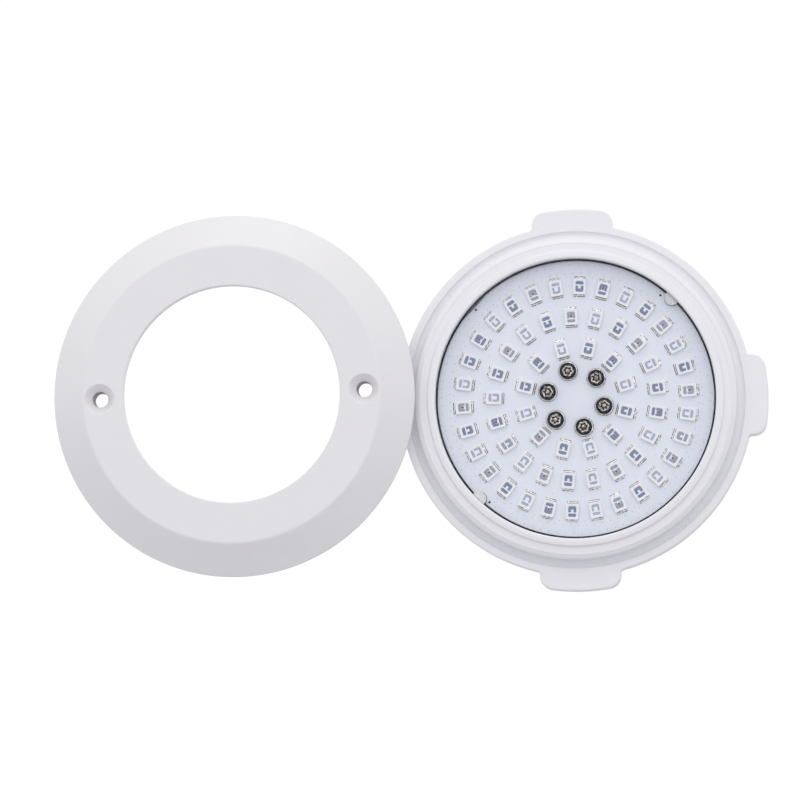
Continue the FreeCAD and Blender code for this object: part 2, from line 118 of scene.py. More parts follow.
# Housing
FLANGE_R = 38.75
FLANGE_BORE_R = 37.0
FLANGE_BACK = -7.6
FLANGE_EDGE = 0.42
FLANGE_FLAT_R = 38.0
CUP_R = 36.0
CUP_BORE_R = 33.2
CUP_FLOOR = -2.5
WALL_PLANE = 0.0
TAB_WIDTH = 17.8
TAB_CORNER_R = 3.0
TAB_ROOT_R = 0.7
TAB_TURN = 1.2
GASKET_R = (27.5, 31.5)
GASKET_DEPTH = 1.5
SPIGOT_R = 23.9
SPIGOT_BORE_R = 20.0
THREAD_PITCH = 2.309
THREAD_DEPTH = 1.3
THREAD_START = 2.2
THREAD_RUNOUT = 1.6
THREAD_ROOT = 0.12
THREAD_FLANKS = 0.66
THREAD_ROWS = 12
END_WALL = 3.0
SPIGOT_CHAMFER = 1.5
GLAND_HOLE_R = 8.1

# LED board. Angles run anticlockwise from +X as seen from the front.
LED_RINGS = (  # (radius, count, first angle, colours in turn)
    (24.78, 30, 4.0, "red blue green"),
    (18.06, 21, 7.47, "blue green red"),
    (11.39, 12, 15.9, "green red blue"),
)
PIN_ANGLES = (46.1, 225.7)
PIN_CLEARANCE = 4.5
MARKS = ((29.34, 50.7), (29.62, 137.9), (29.54, 229.8))  # (radius, angle)
MARK_R = 0.26
EDGE_VIAS = 100
EDGE_VIA_ROWS = ((29.5, 2.5), (27.75, 4.8))  # (radius, first angle)
OUTER_VIAS = (30, 26.95, 0.09)  # (count, radius of the row, radius of a via)
INNER_VIAS = (21, 21.4, 0.085)
VIA_R = 0.09
SCREW_PLACE_R = 6.39
SCREW_COUNT = 6
SCREW_TURN = 45.7
SCREW_HEAD_R = 1.83
WASHER_R = 2.15

# LED packages: (length, width)
PACKAGE = (3.5, 2.8)
WINDOW_FLOOR = LED_TOP + 0.10
SOFT_SHARE = {"red": 0.5, "blue": 0.15, "green": 0.0}

# Cable gland
GLAND_FLATS = 21.0
GLAND_FLANGE = 4.0
GLAND_SCREW_R = 8.0
GLAND_BARREL_R = 8.2
CABLE_R = 3.25
CLAMP_POCKET_R = 6.4
CLAMP_FLOOR = 1.0
NUT_FLATS = 20.5
NUT_MOUTH_R = 3.75
NUT_WALL = 2.4


# ---------------------------------------------------------------- mesh helpers
def direction(degrees):
    """The cosine and sine of an angle in degrees."""
    return math.cos(math.radians(degrees)), math.sin(math.radians(degrees))


def eased(corners, steps=5, guard=0.12):
    """A closed outline of (a, b, radius) corners with each corner rounded. Points kept close to a rounding
    let the flats beside it shade flat."""
    points = []
    count = len(corners)
    for i, (a, b, radius) in enumerate(corners):
        here = Vector((a, b))
        before = Vector(corners[i - 1][:2]) - here
        after = Vector(corners[(i + 1) % count][:2]) - here
        if radius <= 0:
            points.append(here)
            continue
        to_before = before.normalized()
        to_after = after.normalized()
        half = to_before.angle(to_after) / 2
        reach = min(radius / math.tan(half), 0.45 * before.length, 0.45 * after.length)
        radius = reach * math.tan(half)
        centre = here + (to_before + to_after).normalized() * (radius / math.sin(half))
        start = here + to_before * reach - centre
        end = here + to_after * reach - centre
        first = math.atan2(start.y, start.x)
        sweep = (math.atan2(end.y, end.x) - first + math.pi) % (2 * math.pi) - math.pi
        if before.length > 2.6 * reach + guard:
            points.append(here + to_before * (reach + guard))
        for k in range(steps + 1):
            angle = first + sweep * k / steps
            points.append(centre + Vector((math.cos(angle), math.sin(angle))) * radius)
        if after.length > 2.6 * reach + guard:
            points.append(here + to_after * (reach + guard))
    return points


def piece_from(bm, name, finish, body=BODY, replaces=(), sharp=SHARP_ANGLE):
    """Makes a piece of a bmesh in millimetres: in metres, smooth with sharp edges, riding on a body."""
    bmesh.ops.scale(bm, vec=(MM, MM, MM), verts=bm.verts)
    mesh = bpy.data.meshes.new(name)
    bm.to_mesh(mesh)
    bm.free()
    mesh.polygons.foreach_set("use_smooth", [True] * len(mesh.polygons))
    mesh.set_sharp_from_angle(angle=math.radians(sharp))
    piece = bpy.data.objects.new(name, mesh)
    bpy.context.scene.collection.objects.link(piece)
    for one in finish if isinstance(finish, (list, tuple)) else [finish]:
        mesh.materials.append(one)
    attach(piece, body)
    if replaces:
        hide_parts(*replaces)
    return piece


def add_loops(bm, loops, closed=True, material=None):
    """Bridges loops of equal length with quads. An open stack has both ends capped. Material is listed by
    strip."""
    rows = [[bm.verts.new(p) for p in loop] for loop in loops]
    count = len(loops[0])
    strips = len(rows) if closed else len(rows) - 1
    faces = []
    for i in range(strips):
        low, high = rows[i], rows[(i + 1) % len(rows)]
        for j in range(count):
            k = (j + 1) % count
            face = bm.faces.new((low[j], low[k], high[k], high[j]))
            if material is not None:
                face.material_index = material[i]
            faces.append(face)
    if not closed:
        for row, strip in ((rows[0], 0), (rows[-1], -1)):
            face = bm.faces.new(row)
            if material is not None:
                face.material_index = material[strip]
            faces.append(face)
    bmesh.ops.recalc_face_normals(bm, faces=faces)
    return faces


def circle(radius, y, centre=(0.0, 0.0), count=240):
    """A loop of points round an axis along Y."""
    loop = []
    for k in range(count):
        c, s = direction(360 * k / count)
        loop.append((centre[0] + radius * c, y, centre[1] + radius * s))
    return loop


def add_lathe(bm, outline, centre=(0.0, 0.0), count=240):
    """A closed body of revolution about an axis along Y, from (radius, y) points clear of the axis."""
    return add_loops(bm, [circle(p[0], p[1], centre, count) for p in outline])


def add_plug(bm, outline, centre=(0.0, 0.0), count=96):
    """A solid of revolution whose ends are capped: the outline runs from one end cap's rim to the other's."""
    return add_loops(bm, [circle(p[0], p[1], centre, count) for p in outline], closed=False)


def combine(target, cutter_bm, operation):
    """Adds to or cuts a piece with the closed bodies in a bmesh, in millimetres."""
    bmesh.ops.scale(cutter_bm, vec=(MM, MM, MM), verts=cutter_bm.verts)
    mesh = bpy.data.meshes.new("tool")
    cutter_bm.to_mesh(mesh)
    cutter_bm.free()
    tool = bpy.data.objects.new("tool", mesh)
    bpy.context.scene.collection.objects.link(tool)
    modifier = target.modifiers.new("combine", "BOOLEAN")
    modifier.operation = operation
    modifier.solver = "EXACT"
    modifier.object = tool
    bpy.context.view_layer.update()
    made = bpy.data.meshes.new_from_object(target.evaluated_get(bpy.context.evaluated_depsgraph_get()))
    target.modifiers.clear()
    target.data = made
    bpy.data.objects.remove(tool)
    made.polygons.foreach_set("use_smooth", [True] * len(made.polygons))
    made.set_sharp_from_angle(angle=math.radians(SHARP_ANGLE))


def weigh_normals(piece):
    """Large flats keep their own direction next to small roundings."""
    modifier = piece.modifiers.new("normals", "WEIGHTED_NORMAL")
    modifier.keep_sharp = True


# ---------------------------------------------------------------- materials
def new_material(name):
    material = bpy.data.materials.new(name)
    material.use_nodes = True
    nodes = material.node_tree.nodes
    return material, nodes, material.node_tree.links, nodes["Principled BSDF"]


def noise(nodes, links, size, detail=3.0, roughness=0.55):
    """A noise pattern whose features are about size millimetres across, fixed to the object."""
    place = nodes.new("ShaderNodeTexCoord").outputs["Object"]
    pattern = nodes.new("ShaderNodeTexNoise")
    pattern.inputs["Scale"].default_value = 1 / (size * MM)
    pattern.inputs["Detail"].default_value = detail
    pattern.inputs["Roughness"].default_value = roughness
    links.new(place, pattern.inputs["Vector"])
    return pattern.outputs["Fac"]


def spread(nodes, links, value, low, high, start=0.3, end=0.7):
    """A value mapped from its usual range to low..high."""
    mapped = nodes.new("ShaderNodeMapRange")
    mapped.inputs["From Min"].default_value = start
    mapped.inputs["From Max"].default_value = end
    mapped.inputs["To Min"].default_value = low
    mapped.inputs["To Max"].default_value = high
    links.new(value, mapped.inputs["Value"])
    return mapped.outputs["Result"]


def blend_colours(nodes, links, factor, first, second):
    mixed = nodes.new("ShaderNodeMix")
    mixed.data_type = "RGBA"
    for socket, value in ((mixed.inputs[6], first), (mixed.inputs[7], second)):
        if isinstance(value, bpy.types.NodeSocket):
            links.new(value, socket)
        else:
            socket.default_value = (*value, 1.0)
    links.new(factor, mixed.inputs[0])
    return mixed.outputs[2]


def add_bump(nodes, links, shader, height, depth, below=None):
    """A relief of depth millimetres on the shader's normal."""
    bump = nodes.new("ShaderNodeBump")
    bump.inputs["Strength"].default_value = 1.0
    bump.inputs["Distance"].default_value = depth * MM
    links.new(height, bump.inputs["Height"])
    if below is not None:
        links.new(below, bump.inputs["Normal"])
    links.new(bump.outputs["Normal"], shader.inputs["Normal"])
    return bump.outputs["Normal"]


def scaled(colour, factor):
    return tuple(min(1.0, c * factor) for c in colour)


def plain_finish(name, colour, rough, metallic=0.0, coat=0.0, mottle=0.03, mottle_size=6.0, grain=0.25,
                 grain_depth=0.004, rough_spread=0.05, wear=0.0, wave_depth=0.0, specular=0.5):
    """A moulded or painted surface: broad mottling, fine grain and uneven gloss, and where asked for, lighter
    worn edges and slow waves. Sizes and depths are in millimetres."""
    material, nodes, links, shader = new_material(name)
    broad = noise(nodes, links, mottle_size)
    fine = noise(nodes, links, grain, detail=4.0)
    base = blend_colours(nodes, links, spread(nodes, links, broad, 0.0, 1.0), scaled(colour, 1 - mottle),
                         scaled(colour, 1 + mottle))
    if wear > 0:
        pointed = nodes.new("ShaderNodeNewGeometry").outputs["Pointiness"]
        edge = spread(nodes, links, pointed, 0.0, wear, 0.53, 0.60)
        base = blend_colours(nodes, links, edge, base, scaled(colour, 1.25))
    links.new(base, shader.inputs["Base Color"])
    gloss = spread(nodes, links, fine, max(0.02, rough - rough_spread), rough + rough_spread)
    links.new(gloss, shader.inputs["Roughness"])
    shader.inputs["Metallic"].default_value = metallic
    shader.inputs["Specular IOR Level"].default_value = specular
    shader.inputs["Coat Weight"].default_value = coat
    shader.inputs["Coat Roughness"].default_value = 0.08
    normal = None
    if wave_depth > 0:
        normal = add_bump(nodes, links, shader, noise(nodes, links, 14.0, detail=1.0), wave_depth)
    add_bump(nodes, links, shader, fine, grain_depth, normal)
    return material


white_ring = plain_finish("white_abs_ring", (0.763, 0.750, 0.771), 0.24, mottle=0.006, mottle_size=9.0,
                          grain=0.22, grain_depth=0.0006, rough_spread=0.035, wave_depth=0.006)
white_lamp = plain_finish("white_abs_lamp", (0.803, 0.80, 0.838), 0.30, mottle=0.008, mottle_size=7.0,
                          grain=0.20, grain_depth=0.0008, rough_spread=0.04, wave_depth=0.006)
black_rubber = plain_finish("black_rubber", (0.022, 0.022, 0.024), 0.62, mottle=0.18, mottle_size=2.5,
                            grain=0.12, grain_depth=0.006, rough_spread=0.08)
led_plastic = plain_finish("led_package_white", (0.845, 0.835, 0.84), 0.38, mottle=0.012, mottle_size=1.2,
                           grain=0.08, grain_depth=0.0012)
pad_look = {"coat": 0.6, "mottle_size": 0.5, "grain": 0.08, "grain_depth": 0.0015, "rough_spread": 0.06}
pad_dark = plain_finish("led_pad_blue", (0.136, 0.188, 0.350), 0.30, mottle=0.07, **pad_look)
pad_soft = plain_finish("led_pad_soft", (0.27, 0.30, 0.41), 0.30, mottle=0.10, **pad_look)
pad_pale = plain_finish("led_pad_pale", (0.325, 0.38, 0.535), 0.30, mottle=0.06, **pad_look)
die_red = plain_finish("led_die_red", (0.33, 0.012, 0.010), 0.25, coat=0.3, mottle=0.12, mottle_size=0.15,
                       grain=0.05, grain_depth=0.001)
die_cream = plain_finish("led_die_cream", (0.80, 0.79, 0.68), 0.35, coat=0.4, mottle=0.05, mottle_size=0.2,
                         grain=0.06, grain_depth=0.001)
die_white = plain_finish("led_window_white", (0.80, 0.81, 0.84), 0.30, coat=0.4, mottle_size=0.4, grain=0.08,
                         grain_depth=0.001)
screw_black = plain_finish("screw_black_oxide", (0.012, 0.012, 0.013), 0.33, mottle=0.25, mottle_size=0.5,
                           grain=0.09, rough_spread=0.08, wear=0.15, specular=0.15)
pin_white = plain_finish("white_nylon_pin", (0.68, 0.665, 0.67), 0.34, mottle=0.13, mottle_size=0.7,
                         grain=0.3, grain_depth=0.02)
# A darker copy of the ring's white plastic: painted shade for the inside of the screw holes.
bore_painted_shade = plain_finish("white_abs_bore_painted_shade", (0.47, 0.435, 0.44), 0.55, mottle=0.05, mottle_size=1.5,
                          grain=0.2)
anodised = plain_finish("black_anodised", (0.03, 0.03, 0.034), 0.45, metallic=0.6, mottle=0.12,
                        mottle_size=3.0, grain=0.1)
grey_pad = plain_finish("grey_silicone_pad", (0.42, 0.44, 0.47), 0.72, mottle=0.06, mottle_size=2.0,
                        grain=0.2, grain_depth=0.01)
green_mask = plain_finish("green_solder_mask", (0.035, 0.20, 0.08), 0.32, coat=0.5, mottle=0.10,
                          mottle_size=2.0)
brass = plain_finish("turned_brass", (0.72, 0.52, 0.22), 0.26, metallic=1.0, mottle=0.08, mottle_size=1.0,
                     grain=0.12, grain_depth=0.003)
epoxy = plain_finish("moulded_epoxy", (0.028, 0.028, 0.03), 0.55, mottle=0.15, mottle_size=0.8, grain=0.08)
sleeve = plain_finish("capacitor_sleeve", (0.05, 0.06, 0.10), 0.30, coat=0.4, mottle=0.08, mottle_size=3.0,
                      grain=0.3)
ferrite = plain_finish("ferrite", (0.07, 0.07, 0.075), 0.70, mottle=0.16, mottle_size=0.8, grain=0.1,
                       grain_depth=0.01)
green_nylon = plain_finish("green_nylon", (0.06, 0.30, 0.13), 0.38, mottle=0.05, mottle_size=2.5, grain=0.15,
                           grain_depth=0.003)
resin = plain_finish("cast_resin", (0.22, 0.23, 0.25), 0.22, coat=0.5, mottle=0.08, mottle_size=5.0,
                     grain=0.6, grain_depth=0.006)
grey_nylon = plain_finish("grey_nylon", (0.46, 0.47, 0.49), 0.40, mottle=0.04, mottle_size=4.0, grain=0.16,
                          grain_depth=0.006, rough_spread=0.06, wear=0.4)


def metal_finish(name, bright, dark, rough, patch, depth):
    """Tinned or plated metal: bright with darker uneven patches and a lumpy surface. Patch and depth are in
    millimetres."""
    material, nodes, links, shader = new_material(name)
    patches = noise(nodes, links, patch, detail=4.0, roughness=0.65)
    factor = spread(nodes, links, patches, 0.0, 1.0, 0.38, 0.60)
    links.new(blend_colours(nodes, links, factor, dark, bright), shader.inputs["Base Color"])
    gloss = spread(nodes, links, patches, rough + 0.14, max(0.05, rough - 0.06))
    links.new(gloss, shader.inputs["Roughness"])
    shader.inputs["Metallic"].default_value = 1.0
    add_bump(nodes, links, shader, noise(nodes, links, patch * 0.8, detail=3.0), depth)
    return material


solder = metal_finish("solder_tin", (0.95, 0.94, 0.94), (0.74, 0.73, 0.73), 0.48, 0.30, 0.012)
# A near-black metal that paints shade and dark reflection: lines in the creases of the solder fillets and a
# band round the screws' tinned rings.
solder_shade = metal_finish("solder_painted_shade", (0.13, 0.12, 0.115), (0.03, 0.027, 0.025), 0.45, 0.22, 0.02)
recess_metal = metal_finish("screw_recess_bright", (0.62, 0.57, 0.55), (0.06, 0.045, 0.042), 0.24, 0.38, 0.03)
plated = metal_finish("plated_steel", (0.78, 0.78, 0.79), (0.40, 0.40, 0.41), 0.22, 1.2, 0.006)
tinned_ring = metal_finish("tinned_ring", (0.90, 0.89, 0.88), (0.45, 0.44, 0.42), 0.34, 0.9, 0.008)
via_metal = plain_finish("via_plating", (0.30, 0.31, 0.34), 0.35, metallic=0.3, mottle=0.3, mottle_size=3.0,
                         grain=0.08, grain_depth=0.003)
copper = metal_finish("enamelled_copper", (0.78, 0.36, 0.16), (0.45, 0.17, 0.07), 0.24, 0.5, 0.01)


def lens_finish():
    """Clear polycarbonate: it passes light straight through with a faint cool tint, and its front mirrors a
    little of the room."""
    material, nodes, links, shader = new_material("clear_polycarbonate")
    nodes.remove(shader)
    clear = nodes.new("ShaderNodeBsdfTransparent")
    smudge = noise(nodes, links, 9.0, detail=3.0)
    tint = blend_colours(nodes, links, spread(nodes, links, smudge, 0.0, 1.0), (0.990, 0.993, 0.998),
                         (0.995, 0.998, 1.0))
    links.new(tint, clear.inputs["Color"])
    mirror = nodes.new("ShaderNodeBsdfGlossy")
    mirror.inputs["Color"].default_value = (1.0, 1.0, 1.0, 1.0)
    links.new(spread(nodes, links, smudge, 0.03, 0.07), mirror.inputs["Roughness"])
    bump = nodes.new("ShaderNodeBump")
    bump.inputs["Distance"].default_value = 0.003 * MM
    links.new(noise(nodes, links, 12.0, detail=1.0), bump.inputs["Height"])
    links.new(bump.outputs["Normal"], mirror.inputs["Normal"])
    share = nodes.new("ShaderNodeFresnel")
    share.inputs["IOR"].default_value = 1.15
    facing = nodes.new("ShaderNodeSeparateXYZ")
    links.new(nodes.new("ShaderNodeTexCoord").outputs["Normal"], facing.inputs[0])
    front = nodes.new("ShaderNodeMath")
    front.operation = "LESS_THAN"
    front.inputs[1].default_value = -0.5
    links.new(facing.outputs["Y"], front.inputs[0])
    outer = nodes.new("ShaderNodeMath")
    outer.operation = "MULTIPLY"
    links.new(share.outputs["Fac"], outer.inputs[0])
    links.new(front.outputs[0], outer.inputs[1])
    mixed = nodes.new("ShaderNodeMixShader")
    links.new(outer.outputs[0], mixed.inputs[0])
    links.new(clear.outputs["BSDF"], mixed.inputs[1])
    links.new(mirror.outputs["BSDF"], mixed.inputs[2])
    links.new(mixed.outputs["Shader"], nodes["Material Output"].inputs["Surface"])
    return material


def board_finish():
    """White solder mask with a cool cast, faint streaks that run out from the middle, and a soft grain."""
    material, nodes, links, shader = new_material("white_solder_mask")
    coordinates = nodes.new("ShaderNodeTexCoord").outputs["Object"]
    parts = nodes.new("ShaderNodeSeparateXYZ")
    links.new(coordinates, parts.inputs[0])
    angle = nodes.new("ShaderNodeMath")
    angle.operation = "ARCTAN2"
    links.new(parts.outputs["Z"], angle.inputs[0])
    links.new(parts.outputs["X"], angle.inputs[1])
    radius = nodes.new("ShaderNodeVectorMath")
    radius.operation = "LENGTH"
    links.new(coordinates, radius.inputs[0])
    polar = nodes.new("ShaderNodeCombineXYZ")
    links.new(angle.outputs[0], polar.inputs["X"])
    links.new(radius.outputs["Value"], polar.inputs["Y"])
    streaks = nodes.new("ShaderNodeTexNoise")
    streaks.inputs["Scale"].default_value = 42.0
    streaks.inputs["Detail"].default_value = 4.0
    links.new(polar.outputs[0], streaks.inputs["Vector"])
    patches = noise(nodes, links, 7.0, detail=2.0)
    base = blend_colours(nodes, links, spread(nodes, links, streaks.outputs["Fac"], 0.0, 1.0, 0.25, 0.75),
                         (0.742, 0.772, 0.858), (0.772, 0.802, 0.882))
    tone = blend_colours(nodes, links, spread(nodes, links, patches, 0.0, 0.35), base, (0.755, 0.785, 0.866))
    links.new(tone, shader.inputs["Base Color"])
    links.new(spread(nodes, links, streaks.outputs["Fac"], 0.42, 0.54), shader.inputs["Roughness"])
    add_bump(nodes, links, shader, noise(nodes, links, 0.3, detail=3.0), 0.002)
    return material


lens_clear = lens_finish()
board_white = board_finish()


# ---------------------------------------------------------------- face ring
def face_ring():
    """The trim ring: a lathed shell with ribs and screw bosses behind, and two countersunk holes whose
    upright walls carry painted shade.
    """
    inner_face = RING_FRONT + RING_WALL
    edge = RING_BACK - RING_EDGE
    slope = (RING_R - RING_FACE_R) / (edge - RING_FRONT)
    inner_r = RING_FACE_R - RING_WALL * (math.hypot(1, slope) - slope)
    foot_r = inner_r + slope * (RING_BACK - inner_face)
    outline = eased([
        (RING_APERTURE_R, RING_FRONT, 0.30), (RING_FACE_R, RING_FRONT, 1.1), (RING_R, edge, 0.35),
        (RING_R, RING_BACK, 0.15), (foot_r, RING_BACK, 0.12), (inner_r, inner_face, 0.5),
        (RING_APERTURE_R, inner_face, 0.2),
    ])
    bm = bmesh.new()
    add_lathe(bm, outline, RING_CENTRE, 360)
    piece = piece_from(bm, "face_ring_shell", white_ring, "face_ring", ["face_ring"])

    added = bmesh.new()
    rib_low = RING_APERTURE_R + RING_RIB_INSET
    rib_high = RING_FACE_R + RING_RIB_INSET
    half = RING_RIB_THICK / 2
    section = eased([(rib_low, -half, 0.3), (rib_high, -half, 0), (rib_high, half, 0),
                     (rib_low, half, 0.3)], steps=3)
    for k in range(RING_RIBS):
        c, s = direction(RING_HOLE_TURN + 360 * (k + 0.5) / RING_RIBS)
        loops = []
        for y in (inner_face - 0.2, RING_BACK - 0.6):
            loops.append([(RING_CENTRE[0] + p.x * c - p.y * s, y, RING_CENTRE[1] + p.x * s + p.y * c)
                          for p in section])
        add_loops(added, loops, closed=False)
    screws = []
    for side in (0, 180):
        c, s = direction(RING_HOLE_TURN + side)
        place = (RING_CENTRE[0] + RING_HOLE_PLACE_R * c, RING_CENTRE[1] + RING_HOLE_PLACE_R * s)
        screws.append(place)
        add_plug(added, [(RING_BOSS_R, inner_face - 0.2), (RING_BOSS_R, RING_BACK - 0.15),
                         (RING_BOSS_R - 0.15, RING_BACK)], place)
    combine(piece, added, "UNION")

    cutters = bmesh.new()
    lip = COUNTERSINK_R + 0.10
    shoulder = RING_FRONT + COUNTERSINK_R - RING_HOLE_R
    for place in screws:
        add_plug(cutters, [
            (lip, RING_FRONT - 1.0), (lip, RING_FRONT), (lip - 0.07, RING_FRONT + 0.012),
            (lip - 0.13, RING_FRONT + 0.045), (lip - 0.19, RING_FRONT + 0.10),
            (RING_HOLE_R + 0.06, shoulder - 0.02), (RING_HOLE_R, shoulder + 0.06),
            (RING_HOLE_R - 0.16, RING_BACK + 1.0),
        ], place)
    combine(piece, cutters, "DIFFERENCE")
    # The upright walls of the screw holes get the darker bore finish, which paints the shade that falls
    # inside the holes.
    piece.data.materials.append(bore_painted_shade)
    margin = 0.02
    for face in piece.data.polygons:
        centre = face.center / MM
        upright = abs(face.normal.y) < 0.5 and centre.y > shoulder + margin
        if upright and any(math.hypot(centre.x - x, centre.z - z) < RING_HOLE_R + margin for x, z in screws):
            face.material_index = len(piece.data.materials) - 1
    weigh_normals(piece)


# ---------------------------------------------------------------- lamp front
def front_bezel():
    """The stepped ring round the window: lip, rim, slope, beads, shoulder and skirt, with the lens's ledge
    inside and the groove for the bezel's seal behind."""
    bezel_r = BEZEL_R + 0.04
    groove = SEAT - SEAL_GROOVE_DEPTH
    outline = eased([
        (*WINDOW_LIP, 0.1), (WINDOW_MOUTH_R, RIM_FRONT, 0.25), (RIM_R[0], RIM_FRONT, 1.5),
        (RIM_R[1], RIM_FOOT, 0.25), (SLOPE_R[0], SLOPE_DEPTHS[0], 0.5), (SLOPE_R[1], SLOPE_DEPTHS[1], 0.3),
        *BEADS, (SHOULDER_R[0], SHOULDER_DEPTHS[0], 0.3), (SHOULDER_R[1], SHOULDER_DEPTHS[1], 0.8),
        (SKIRT_R, SKIRT_DEPTHS[0], 0.5), (bezel_r, SKIRT_DEPTHS[1], 0.02), (bezel_r, SEAT, 0.1),
        (SEAL_GROOVE_R[1], SEAT, 0.05), (SEAL_GROOVE_R[1], groove, 0.05), (SEAL_GROOVE_R[0], groove, 0.05),
        (SEAL_GROOVE_R[0], SEAT, 0.05), (BEZEL_BORE_R, SEAT, 0.1), (BEZEL_BORE_R, LEDGE_DEPTHS[1], 0.1),
        (LEDGE_R, LEDGE_DEPTHS[1], 0.1), (LEDGE_R, LEDGE_DEPTHS[0], 0.05), (WINDOW_R, LEDGE_DEPTHS[0], 0.03),
    ], steps=4, guard=0.06)
    bm = bmesh.new()
    add_lathe(bm, outline, count=320)
    weigh_normals(piece_from(bm, "front_bezel_ring", white_lamp, replaces=["front_bezel"]))


# ---------------------------------------------------------------- housing
def arc(x, z, radius, first, last, steps):
    """Points (x, z) on an arc with their outward directions. A radius below zero gives a hollow arc."""
    angles = [first + (last - first) * k / steps for k in range(steps + 1)]
    return [(x + radius * math.cos(a), z + radius * math.sin(a), math.cos(a), math.sin(a)) for a in angles]


def flange_outline():
    """The flange's outline with its four grip tabs: a closed list of (x, z) with outward directions."""
    half = TAB_WIDTH / 2
    root_z = half + TAB_ROOT_R
    root_x = math.sqrt((FLANGE_R + TAB_ROOT_R) ** 2 - root_z ** 2)
    root_angle = math.atan2(root_z, root_x)
    corner_z = half - TAB_CORNER_R
    corner_x = math.sqrt((TAB_R - TAB_CORNER_R) ** 2 - corner_z ** 2)
    corner_angle = math.atan2(corner_z, corner_x)
    side = arc(0, 0, TAB_R, 0, corner_angle, 9)[:-1]
    side += arc(corner_x, corner_z, TAB_CORNER_R, corner_angle, math.pi / 2, 9)
    side += arc(root_x, root_z, -TAB_ROOT_R, math.pi / 2, root_angle, 5)
    side += arc(0, 0, FLANGE_R, root_angle, math.pi / 4, 17)[1:]
    quarter = [(x, -z, nx, -nz) for x, z, nx, nz in reversed(side[1:-1])] + side
    outline = []
    for k in range(4):
        c, s = direction(TAB_TURN + 90 * k)
        for x, z, nx, nz in quarter:
            outline.append((x * c - z * s, x * s + z * c, nx * c - nz * s, nx * s + nz * c))
    return outline


def smooth_step(value):
    value = min(1.0, max(0.0, value))
    return value * value * (3 - 2 * value)


def thread_radius(y, angle):
    """The spigot's surface at a depth and an angle: a thread that runs out at the shoulder and is cut by the
    end chamfer."""
    phase = (y / THREAD_PITCH + angle / (2 * math.pi)) % 1.0
    wave = 0.5 + 0.5 * math.cos(2 * math.pi * phase)
    crest = smooth_step((wave - THREAD_ROOT) / THREAD_FLANKS)
    fade = smooth_step((y - THREAD_START) / THREAD_RUNOUT)
    radius = SPIGOT_R - THREAD_DEPTH * (1 - crest * fade)
    chamfer = SPIGOT_R - SPIGOT_CHAMFER + (SPIGOT_END - y)
    return min(radius, chamfer)


def thread_point(y, angle):
    radius = thread_radius(y, angle)
    return radius * math.cos(angle), y, radius * math.sin(angle)


def add_thread(bm, angles, start, end):
    """The threaded surface between two depths. Its rows follow the thread, so that once round, a row meets
    the row one pitch away from it."""
    turns = [((a - angles[0]) / (2 * math.pi)) % 1.0 for a in angles]
    corners = {}

    def corner(j, k):
        if j == len(angles):
            j, k = 0, k - THREAD_ROWS
        y = min(end, max(start, THREAD_PITCH * (k / THREAD_ROWS - turns[j])))
        key = j, round(y, 4)
        if key not in corners:
            corners[key] = bm.verts.new(thread_point(y, angles[0] + 2 * math.pi * turns[j]))
        return corners[key]

    first = math.floor(THREAD_ROWS * start / THREAD_PITCH)
    last = math.ceil(THREAD_ROWS * (end / THREAD_PITCH + 1))
    for j in range(len(angles)):
        for k in range(first, last):
            around = [corner(j, k), corner(j + 1, k), corner(j + 1, k + 1), corner(j, k + 1)]
            around = [v for i, v in enumerate(around) if v is not around[i - 1]]
            if len(around) > 2:
                bm.faces.new(around)


